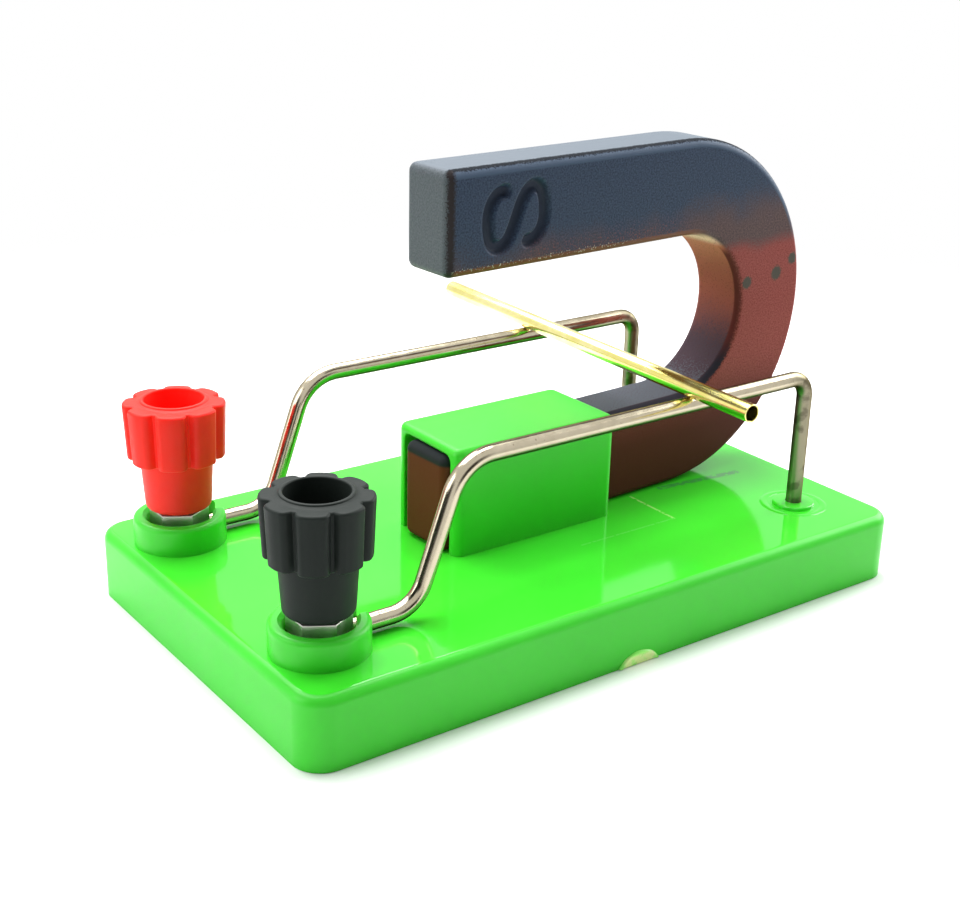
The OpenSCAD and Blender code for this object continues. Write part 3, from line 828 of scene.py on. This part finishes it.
# %% [markdown]
# ## Pole letters
# A school magnet has its poles struck into the steel, an S and an N, before it is painted, and the
# lacquer rounds the groove's edges. A Boolean would leave hard edges there. So a panel of the face
# is cut out with planes, filled with a fine grid, and each grid point sinks by its distance from
# the letter's centre line.

# %% Pole letters
MARK_INSET = 6
MARK_HEIGHT = 11
MARK_DEPTH = 0.9
GROOVE_FLAT = 0.35
GROOVE_EDGE = 1.15
PANEL_LENGTH = 12.6
PANEL_HEIGHT = 10.8
PANEL_CUTS = 72
S_CURVES = (
    ((3.5, 2.0), (3.6, 3.6), (2.0, 4.8), (0, 4.8)),
    ((0, 4.8), (-2.2, 4.8), (-3.8, 4.3), (-3.8, 3.1)),
    ((-3.8, 3.1), (-3.8, 1.6), (-2.3, 0.9), (0, 0)),
)
N_LINE = ((-3.6, -4.6), (-3.6, 4.6), (3.6, -4.6), (3.6, 4.6))
CURVE_POINTS = 14


def flat(points):
    """Points of a drawing as vectors."""
    return [Vector(p).to_3d() for p in points]


def letter_s():
    """Centre line of an S: three curves from head to middle, and the same ones turned round."""
    half = []
    for curve in S_CURVES:
        half += interpolate_bezier(*flat(curve), CURVE_POINTS)
    return half + [-p for p in reversed(half)]


def line_distance(point, line):
    """Distance from a point to the nearest stretch of a line of points."""
    gaps = []
    for first, second in zip(line, line[1:]):
        share = intersect_point_line(point, first, second)[1]
        nearest = first.lerp(second, max(0, min(1, share)))
        gaps.append((point - nearest).length)
    return min(gaps)


def face_under(bm, point):
    """The face of the near side that a point lies on."""
    near = (face for face in bm.faces if face.normal.y < -ALIGNED)
    return next(face for face in near if bmesh.geometry.intersect_face_point(face, point))


def strike(bm, line, level):
    """Strikes a letter into the near side, its head towards the pole's end."""
    middle = Vector((MARK_INSET + MARK_HEIGHT / 2, -half_width, level))
    for axis, size in ((X, PANEL_LENGTH), (Z, PANEL_HEIGHT)):
        for sign in (-1, 1):
            face = face_under(bm, middle)
            bmesh.ops.bisect_plane(
                bm, geom=[face] + face.edges[:] + face.verts[:],
                plane_co=middle + axis * sign * size / 2, plane_no=axis,
            )
            bm.normal_update()
    panel = face_under(bm, middle)
    bmesh.ops.subdivide_edges(bm, edges=panel.edges[:], cuts=PANEL_CUTS, use_grid_fill=True)
    for vert in bm.verts:
        across = vert.co.z - middle.z
        up = middle.x - vert.co.x
        on_panel = abs(up) < PANEL_LENGTH / 2 and abs(across) < PANEL_HEIGHT / 2
        if on_panel and abs(vert.co.y + half_width) < MERGE:
            gap = line_distance(Vector((across, up, 0)), line)
            share = max(0, min(1, (GROOVE_EDGE - gap) / (GROOVE_EDGE - GROOVE_FLAT)))
            vert.co.y += MARK_DEPTH * share * share * (3 - 2 * share)


bar.normal_update()
strike(bar, letter_s(), 2 * MAGNET_CENTRE - MAGNET_LIMB / 2)
strike(bar, flat(N_LINE), MAGNET_LIMB / 2)
move(bar, magnet_place)
horseshoe = solid("horseshoe_magnet", bar)
dress(horseshoe, "horseshoe", [sprayed_lacquer], "magnet")

# %% [markdown]
# ## Nickel-plated wire
# The rails are drawn steel wire with thin nickel plating. Nickel is a warm, slightly yellow silver.
# The plating is worn dull in places, most of all on the legs that fingers push into the base, with
# brown freckles where the steel shows through. The rolling tube polishes the rails from above, and
# below they stay dull; their underside is also painted darker, as shade.

# %% Nickel-plated wire
DULL_REACH = 7
WIRE_SPAN = {"From Min": 0.35, "From Max": 0.65}


def plated_wire(tree, place):
    """Nickel on drawn steel: warm grey mirror with dull patches and brown freckles."""
    patch = add(tree, "TexNoise", {"Vector": place, "Scale": 1 / 2.5, "Detail": 6})
    fleck = add(tree, "TexNoise", {"Vector": place, "Scale": 1 / 0.5, "Detail": 5})
    reach = add(tree, "SeparateXYZ", {0: place}).outputs["X"]
    facing = add(tree, "TexCoord").outputs["Normal"]
    lean = add(tree, "SeparateXYZ", {0: facing}).outputs["Z"]
    handled = mask(tree, (reach, legs["black"].x - DULL_REACH, legs["black"].x))
    # The underside mask makes the wire rougher and darkens its colour as painted shade.
    under = mask(tree, (lean, 0, -0.7))
    metal = coats(
        tree, "#b0a58c", ("#cdc4ae", patch), ("#8a7459", (fleck, 0.64, 0.76)), ("#8b8570", handled),
        ("#6a6454", (patch, 0.5, 0.62), (handled, 0.3, 0.9)), ("#64604f", under),
    )
    dull = add(tree, "MapRange", {"Value": patch, **WIRE_SPAN, "To Min": 0.14, "To Max": 0.22})
    for cover, matt in ((handled, 0.38), (under, 0.32)):
        dull = add(tree, "Mix", {"Factor": cover, "A": dull, "B": matt})
    relief = add(tree, "Bump", {"Height": fleck, "Strength": 0.08, "Distance": 0.05 * MM})
    return add(tree, "BsdfPrincipled", {
        "Base Color": metal, "Metallic": 1.0, "Roughness": dull, "Normal": relief,
        "Specular Tint": colour("#8f8874"),
    })


nickel_plated_wire = make_material("nickel_plated_wire", plated_wire)

# %% [markdown]
# ## Wire rails
# A wire bender makes a rail in one pass: it curls the eye, feeds a length, bends, feeds again. The
# mesh follows the same steps with one ring of edges. The ring starts at the eye's open end, goes
# round the screw, turns back into line, then runs out, up the slope, along the level run and down
# the leg. The red post's rail is the mirror image.

# %% Wire rails
WIRE_SIDES = 20
EYE_RADIUS = 3.25
EYE_BEND = 2.3
EYE_NECK = 0.6
EYE_TURN = 302
EYE_STEPS = 44
NECK_STEPS = 8
EYE_LEVEL = BOSS_FLOOR + WIRE_RADIUS
RUN_LEVEL = PLATE_HEIGHT + 20
SLOPE_START = 13.8
SLOPE_ANGLE = math.radians(70)
SLOPE_STEPS = 14
LOW_BEND = 5
HIGH_BEND = 6.5
LEG_BEND = 3
LEG_STEPS = 12
LEG_END = 2


def wire_rail(leg_reach):
    """One rail about its post's axis: its eye lies flat, the rest is bent in the XZ plane."""
    crook = EYE_RADIUS + EYE_BEND
    eye_start = math.asin(EYE_BEND / math.hypot(crook, EYE_NECK)) + math.atan2(EYE_NECK, crook)
    eye_reach = crook * math.cos(eye_start) + EYE_NECK * math.sin(eye_start)
    neck = Vector((math.sin(eye_start), -math.cos(eye_start), 0)) * EYE_NECK
    neck_turn = 90 - math.degrees(eye_start)
    rise = RUN_LEVEL - EYE_LEVEL
    low_set = LOW_BEND * math.tan(SLOPE_ANGLE / 2)
    high_set = HIGH_BEND * math.tan(SLOPE_ANGLE / 2)
    slope = Vector((math.cos(SLOPE_ANGLE), 0, math.sin(SLOPE_ANGLE)))
    slope_turn = math.degrees(SLOPE_ANGLE)
    slope_length = rise / math.sin(SLOPE_ANGLE) - low_set - high_set
    foot_end = SLOPE_START - low_set
    run_start = SLOPE_START + rise / math.tan(SLOPE_ANGLE) + high_set
    run_end = leg_reach - LEG_BEND
    bm = bmesh.new()
    bmesh.ops.create_circle(bm, cap_ends=True, segments=WIRE_SIDES, radius=WIRE_RADIUS)
    open_end = Matrix.Rotation(eye_start + math.radians(EYE_TURN), 4, "Z")
    upright = Matrix.Rotation(QUARTER, 4, "X")
    move(bm, open_end, Matrix.Translation((EYE_RADIUS, 0, EYE_LEVEL)), upright)
    ring = bend(bm, bm.edges[:], Z * EYE_LEVEL, -Z, EYE_TURN, EYE_STEPS)
    ring = feed(bm, ring, neck)
    ring = bend(bm, ring, (eye_reach, EYE_BEND, EYE_LEVEL), Z, neck_turn, NECK_STEPS)
    ring = feed(bm, ring, X * (foot_end - eye_reach))
    ring = bend(bm, ring, (foot_end, 0, EYE_LEVEL + LOW_BEND), -Y, slope_turn, SLOPE_STEPS)
    ring = feed(bm, ring, slope * slope_length)
    ring = bend(bm, ring, (run_start, 0, RUN_LEVEL - HIGH_BEND), Y, slope_turn, SLOPE_STEPS)
    ring = feed(bm, ring, X * (run_end - run_start))
    ring = bend(bm, ring, (run_end, 0, RUN_LEVEL - LEG_BEND), Y, 90, LEG_STEPS)
    ring = feed(bm, ring, Z * (LEG_END + LEG_BEND - RUN_LEVEL))
    bmesh.ops.contextual_create(bm, geom=ring)
    return bm


for side, post in posts.items():
    wire = wire_rail(legs[side].x - post.x)
    if side == "red":
        bmesh.ops.scale(wire, verts=wire.verts, vec=(1, -1, 1))
    bmesh.ops.recalc_face_normals(wire, faces=wire.faces)
    move(wire, Matrix.Translation((post.x, post.y, 0)))
    rail = solid(side + "_wire_rail", wire)
    dress(rail, "stand", [nickel_plated_wire], side + "_rail")

# %% [markdown]
# ## Brass tube
# The conductor is a length of thin drawn brass tube, light enough for the magnet to push. Drawn
# brass is a bright greenish yellow mirror with faint lines along its length, made coarser here so
# that they show. Its two ends are sawn and deburred, so the tiny wall has broken edges that show as
# a bright ring round a dark bore.

# %% Brass tube
TUBE_RADIUS = 1.25
TUBE_BORE = 1.05
TUBE_LENGTH = 71
TUBE_SKEW = math.radians(1.6)
TUBE_STEPS = 32
BURR = 0.06


def drawn_brass(tree, place):
    """Drawn brass: a yellow mirror with fine lines and a few darker touches of tarnish."""
    touch = add(tree, "TexNoise", {"Vector": place, "Scale": 1 / 6, "Detail": 4})
    metal = coats(tree, "#eee080", ("#faf2b0", (touch, 0.35, 0.7)))
    stretched = add(tree, "Mapping", {"Vector": place, "Scale": (1, 0.05, 1)})
    lines = add(tree, "TexNoise", {"Vector": stretched, "Scale": 1 / 0.35, "Detail": 3})
    gloss = add(tree, "MapRange", {"Value": lines, **NOISE_SPAN, "To Min": 0.12, "To Max": 0.26})
    relief = add(tree, "Bump", {"Height": lines, "Strength": 0.1, "Distance": 0.03 * MM})
    return add(tree, "BsdfPrincipled", {
        "Base Color": metal, "Metallic": 1.0, "Roughness": gloss, "Normal": relief,
    })


brass = make_material("drawn_brass", drawn_brass)
tube_low, tube_high = box_mm("rolling_tube")
far_end = TUBE_LENGTH / 2
tube = lathe([
    (TUBE_BORE, BURR - far_end), (TUBE_BORE + BURR, -far_end), (TUBE_RADIUS - BURR, -far_end),
    (TUBE_RADIUS, BURR - far_end), (TUBE_RADIUS, far_end - BURR), (TUBE_RADIUS - BURR, far_end),
    (TUBE_BORE + BURR, far_end), (TUBE_BORE, far_end - BURR), (TUBE_BORE, BURR - far_end),
], steps=TUBE_STEPS)
lay = Matrix.Rotation(-TUBE_SKEW, 4, "Z") @ Matrix.Rotation(QUARTER, 4, "X")
move(tube, Matrix.Translation((tube_low + tube_high) / 2), lay)
dress(solid("brass_tube", tube), "conductor", [brass], "rolling_tube")

# %% [markdown]
# ## Knob plastic
# The knobs are the same moulding in two colours. Black is satin, with a fine spark texture from the
# mould, drawn coarser here so that it shows. Red has less pigment, so light enters it a little and
# the shadow side glows; a touch of subsurface gives that.

# %% Knob plastics
GLOSS_SWING = 0.06


def knob_plastic(tree, place, dark, light, rough, shine, glow):
    """Satin moulded plastic with a fine grain; glow is the share of light that goes under it."""
    grain = add(tree, "TexNoise", {"Vector": place, "Scale": 1 / 0.45, "Detail": 4})
    handled = add(tree, "TexNoise", {"Vector": place, "Scale": 1 / 4, "Detail": 3})
    gloss = add(tree, "MapRange", {
        "Value": handled, **NOISE_SPAN,
        "To Min": rough - GLOSS_SWING, "To Max": rough + GLOSS_SWING,
    })
    relief = add(tree, "Bump", {"Height": grain, "Strength": 0.18, "Distance": 0.06 * MM})
    return add(tree, "BsdfPrincipled", {
        "Base Color": coats(tree, dark, (light, handled)), "Roughness": gloss, "Normal": relief,
        "Specular IOR Level": shine, "Subsurface Weight": glow,
        "Subsurface Radius": (1.0, 0.2, 0.1), "Subsurface Scale": 1.6 * MM,
    })


knob_finish = {
    "black": make_material(
        "moulded_plastic_black", knob_plastic,
        dark="#1b211e", light="#252b28", rough=0.5, shine=0.12, glow=0.0,
    ),
    "red": make_material(
        "moulded_plastic_red", knob_plastic,
        dark="#f82a20", light="#ff382c", rough=0.45, shine=0.14, glow=0.5,
    ),
}

# %% [markdown]
# ## Knob lobes
# A knob is a round core with eight lobes for the fingers. One lobe's outline is repeated eight
# times round the axis, extruded, widened a little towards the top, and bevelled all round.

# %% Knob lobes
LOBES = 8
LOBE_RADIUS = 6.8
LOBE_HEIGHT = 7.8
LOBE_HALF = 1.8
LOBE_CROWN = 0.35
LOBE_CORNER = 0.6
LOBE_LEAN = math.tan(math.radians(2.5))
LOBE_TOP_EDGE = 0.4
LOBE_FOOT_EDGE = 0.8
GROOVE_RADIUS = 5.65
GROOVE_SHARE = math.radians(2)


def lobe_star(foot):
    """The ring of lobes as one bevelled prism."""
    bm = bmesh.new()
    root = math.pi / LOBES - GROOVE_SHARE
    inner = (GROOVE_RADIUS * math.cos(root), GROOVE_RADIUS * math.sin(root))
    edge = LOBE_RADIUS - LOBE_CROWN
    lobe = [(inner[0], -inner[1]), (edge, -LOBE_HALF), (LOBE_RADIUS, 0), (edge, LOBE_HALF), inner]
    turns = [Matrix.Rotation(math.tau * i / LOBES, 2) for i in range(LOBES)]
    outline = [(turn @ Vector(point)).to_3d() for turn in turns for point in lobe]
    bm.faces.new([bm.verts.new(point) for point in outline])
    move(bm, Matrix.Translation(Z * foot))
    outer = [v for v in bm.verts if v.co.xy.length > GROOVE_RADIUS + MERGE]
    bevel(bm, outer, LOBE_CORNER, segments=5, affect="VERTICES")
    head = only(bmesh.ops.extrude_face_region(bm, geom=bm.faces[:])["geom"], BMVert)
    bmesh.ops.translate(bm, verts=head, vec=Z * LOBE_HEIGHT)
    bmesh.ops.recalc_face_normals(bm, faces=bm.faces)
    for vert in bm.verts:
        spread = 1 + (vert.co.z - foot - LOBE_HEIGHT / 2) * LOBE_LEAN / LOBE_RADIUS
        vert.co.x *= spread
        vert.co.y *= spread
    bevel(bm, edges_at(bm, Z, foot + LOBE_HEIGHT), LOBE_TOP_EDGE, segments=3)
    bevel(bm, edges_at(bm, Z, foot), LOBE_FOOT_EDGE, segments=4)
    return bm


print("a knob has", LOBES, "lobes")

# %% [markdown]
# ## Knobs
# The core is turned on the lathe: skirt, shoulder and the raised rim of the plug socket. A Boolean
# joins the lobes to it and bores the hole for the brass insert and the socket.

# %% Knobs
SKIRT_HEIGHT = 7.2
SKIRT_FOOT = 4.5
SKIRT_HEAD = 4.95
SKIRT_RISE = 0.4
SKIRT_EDGE = 0.7
CORE_RADIUS = 5.1
CORE_RISE = 1
CORE_DROP = 0.5
RIM_FOOT = 5.45
RIM_DROP = 0.1
RIM_RADIUS = 4.55
RIM_EDGE = 0.2
PLUG_RADIUS = 4.0
PLUG_DEPTH = 7.3
INSERT_HOLE = 3.05
INSERT_LENGTH = 7.4
WEB_HOLE = 2.3
KNOB_TURN = {"black": math.radians(9.5), "red": math.radians(15)}

for side, post in posts.items():
    knob_low, knob_high = box_mm(side + "_knob")
    foot = knob_low.z
    top = knob_high.z
    shoulder = foot + SKIRT_HEIGHT
    lobe_top = shoulder + LOBE_HEIGHT
    core = (
        [(0, foot)]
        + arc((SKIRT_FOOT - SKIRT_EDGE, foot + SKIRT_EDGE), SKIRT_EDGE, -90, 0, steps=5)
        + [(SKIRT_HEAD, shoulder + SKIRT_RISE), (CORE_RADIUS, shoulder + CORE_RISE)]
        + [(CORE_RADIUS, lobe_top - CORE_DROP), (RIM_FOOT, lobe_top - RIM_DROP)]
        + arc((RIM_RADIUS - RIM_EDGE, top - RIM_EDGE), RIM_EDGE, 0, 90, steps=4)
        + [(0, top)]
    )
    web_foot = foot + INSERT_LENGTH
    web_top = top - PLUG_DEPTH
    hole = (
        [(0, foot - OVERCUT), (INSERT_HOLE, foot - OVERCUT), (INSERT_HOLE, web_foot)]
        + [(WEB_HOLE, web_foot), (WEB_HOLE, web_top), (PLUG_RADIUS, web_top)]
        + arc((PLUG_RADIUS + RIM_EDGE, top - RIM_EDGE), RIM_EDGE, 180, 100, steps=4)
        + [(PLUG_RADIUS + RIM_EDGE, top + OVERCUT), (0, top + OVERCUT)]
    )
    star = lobe_star(shoulder)
    turn = Matrix.Rotation(KNOB_TURN[side], 4, "Z")
    move(star, Matrix.Translation((post.x, post.y, 0)), turn)
    knob = solid(side + "_finger_knob", lathe(core, post))
    combine(knob, star, "UNION")
    combine(knob, lathe(hole, post), "DIFFERENCE")
    dress(knob, side + "_grip", [knob_finish[side]], side + "_knob")

# %% [markdown]
# ## Plated fasteners
# The nuts, washers and screws are bright zinc-plated steel. A nut is a slice of hexagon bar with
# its upper edges broken, and those edges shine at the foot of each knob. The screws and washers are
# plain and nearly hidden, so their CAD solids stay and only get the same plating. The brass inserts
# stay too.

# %% Plated fasteners
NUT_FLATS = 7
NUT_BORE = 2.05
NUT_EDGE = 0.2
NUT_LEAD = 0.3


def plated_steel(tree, place):
    """Bright zinc plating: cool grey mirror with a faint cloud."""
    cloud = add(tree, "TexNoise", {"Vector": place, "Scale": 1 / 1.5, "Detail": 4})
    metal = coats(tree, "#b2afa8", ("#d2d0ca", cloud))
    gloss = add(tree, "MapRange", {"Value": cloud, **NOISE_SPAN, "To Min": 0.3, "To Max": 0.44})
    return add(tree, "BsdfPrincipled", {"Base Color": metal, "Metallic": 1.0, "Roughness": gloss})


zinc = make_material("zinc_plated_steel", plated_steel)
corner_radius = NUT_FLATS / math.sqrt(3)
for side, post in posts.items():
    nut_low, nut_high = box_mm(side + "_post_nut")
    hexagon = bmesh.new()
    bmesh.ops.create_cone(
        hexagon, cap_ends=True, segments=6, radius1=corner_radius, radius2=corner_radius,
        depth=nut_high.z - nut_low.z, matrix=Matrix.Translation(post),
    )
    bevel(hexagon, edges_at(hexagon, Z, nut_high.z), NUT_EDGE, segments=3)
    nut = solid(side + "_hex_nut", hexagon)
    bore = [
        (0, nut_low.z - OVERCUT), (NUT_BORE, nut_low.z - OVERCUT),
        (NUT_BORE, nut_high.z - NUT_LEAD), (NUT_BORE + 2 * NUT_LEAD, nut_high.z + NUT_LEAD),
        (0, nut_high.z + NUT_LEAD),
    ]
    combine(nut, lathe(bore, post), "DIFFERENCE")
    dress(nut, "stand", [zinc], side + "_post_nut")
    for name, material in (("_post_screw", zinc), ("_post_washer", zinc), ("_knob_insert", brass)):
        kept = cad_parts[side + name].data.materials
        kept.clear()
        kept.append(material)

# %% [markdown]
# ## Floor and dark cards
# The object stands on a sheet of white paper. The paper fades to nothing a hand's breadth away from
# the object, so no horizon shows. Metal needs something dark to mirror, so two dark cards stand
# beside the camera, soft at their edges, where only reflections see them. Paper and cards are the
# same kind of sheet: a grid with a fading material.

# %% Floor and dark cards
FLOOR_SIZE = 3000
FLOOR_DROP = 0.05
CARD_SIZE = 460
CARDS = {"card_left": (-420, -180, 120), "card_front": (60, -460, 90)}


def fading_sheet(tree, place, ground, cloud_tone, start, end):
    """A matt sheet that fades to nothing between two distances from its middle, in mm."""
    cloud = add(tree, "TexNoise", {"Vector": place, "Scale": 1 / 40})
    matt = add(tree, "BsdfDiffuse", {"Color": coats(tree, ground, (cloud_tone, cloud))})
    away = add(tree, "VectorMath", {0: place}, operation="LENGTH")
    gone = mask(tree, (away, start, end))
    return add(tree, "MixShader", {0: gone, 1: matt, 2: add(tree, "BsdfTransparent")})


def sheet(name, size, material):
    """A square sheet in the table's plane, which isn't part of the object."""
    bm = bmesh.new()
    bmesh.ops.create_grid(bm, x_segments=1, y_segments=1, size=size / 2)
    piece = solid(name, bm)
    piece.data.transform(Matrix.Scale(MM, 4))
    piece.data.materials.append(material)
    return piece


def aim(piece, front, spot, target):
    """Stands an object at a place in mm, with one of its axes turned to a target."""
    turn = (Vector(target) - Vector(spot)).to_track_quat(front, "Y")
    piece.matrix_world = Matrix.Translation(Vector(spot) * MM) @ turn.to_matrix().to_4x4()


white_paper = make_material(
    "white_paper", fading_sheet, ground="#f8f8f8", cloud_tone="#fcfcfc", start=110, end=230,
)
dark_card = make_material(
    "dark_card", fading_sheet, ground="#2a2320", cloud_tone="#302824", start=60, end=CARD_SIZE / 2,
)
floor = sheet("floor", FLOOR_SIZE, white_paper)
floor.location.z = -FLOOR_DROP * MM
for name, spot in CARDS.items():
    card = sheet(name, CARD_SIZE, dark_card)
    aim(card, "Z", spot, target=(0, 0, spot[2]))
    card.visible_camera = False
    card.visible_diffuse = False
    card.visible_shadow = False

# %% [markdown]
# ## Light
# The white background is the world itself, which camera rays and mirror rays see at full white,
# while it lights the object less. A wide soft box behind and above gives the shadow and the bright
# top, and two weak ones at the sides fill the walls.

# %% Light
SKY_LIGHT = 0.23
OBJECT_MIDDLE = (0, 0, 15)
SOFT_BOXES = {
    "overhead": ((20, 170, 400), 420, 4.0),
    "right": ((400, -20, 220), 300, 1.7),
    "left": ((-400, 120, 200), 300, 0.8),
}

world = bpy.data.worlds.new("studio")
bpy.context.scene.world = world
world.use_nodes = True
sky = world.node_tree
sky.nodes.clear()
ray = add(sky, "LightPath").outputs
seen = add(sky, "Math", {0: ray["Is Camera Ray"], 1: ray["Is Glossy Ray"]}, operation="MAXIMUM")
seen = add(sky, "Math", {0: seen, 1: ray["Is Transmission Ray"]}, operation="MAXIMUM")
level = add(sky, "MapRange", {"Value": seen, "To Min": SKY_LIGHT, "To Max": 1.0})
background = add(sky, "Background", {"Color": (1, 1, 1, 1), "Strength": level})
add(sky, "OutputWorld", {"Surface": background})
for name, (spot, size, power) in SOFT_BOXES.items():
    lamp = bpy.data.lights.new(name, "AREA")
    lamp.shape = "SQUARE"
    lamp.size = size * MM
    lamp.energy = power
    soft_box = bpy.data.objects.new(name, lamp)
    bpy.context.scene.collection.objects.link(soft_box)
    aim(soft_box, "-Z", spot, target=OBJECT_MIDDLE)
bpy.context.scene.view_settings.view_transform = "Standard"
print("lamps are up:", list(SOFT_BOXES))
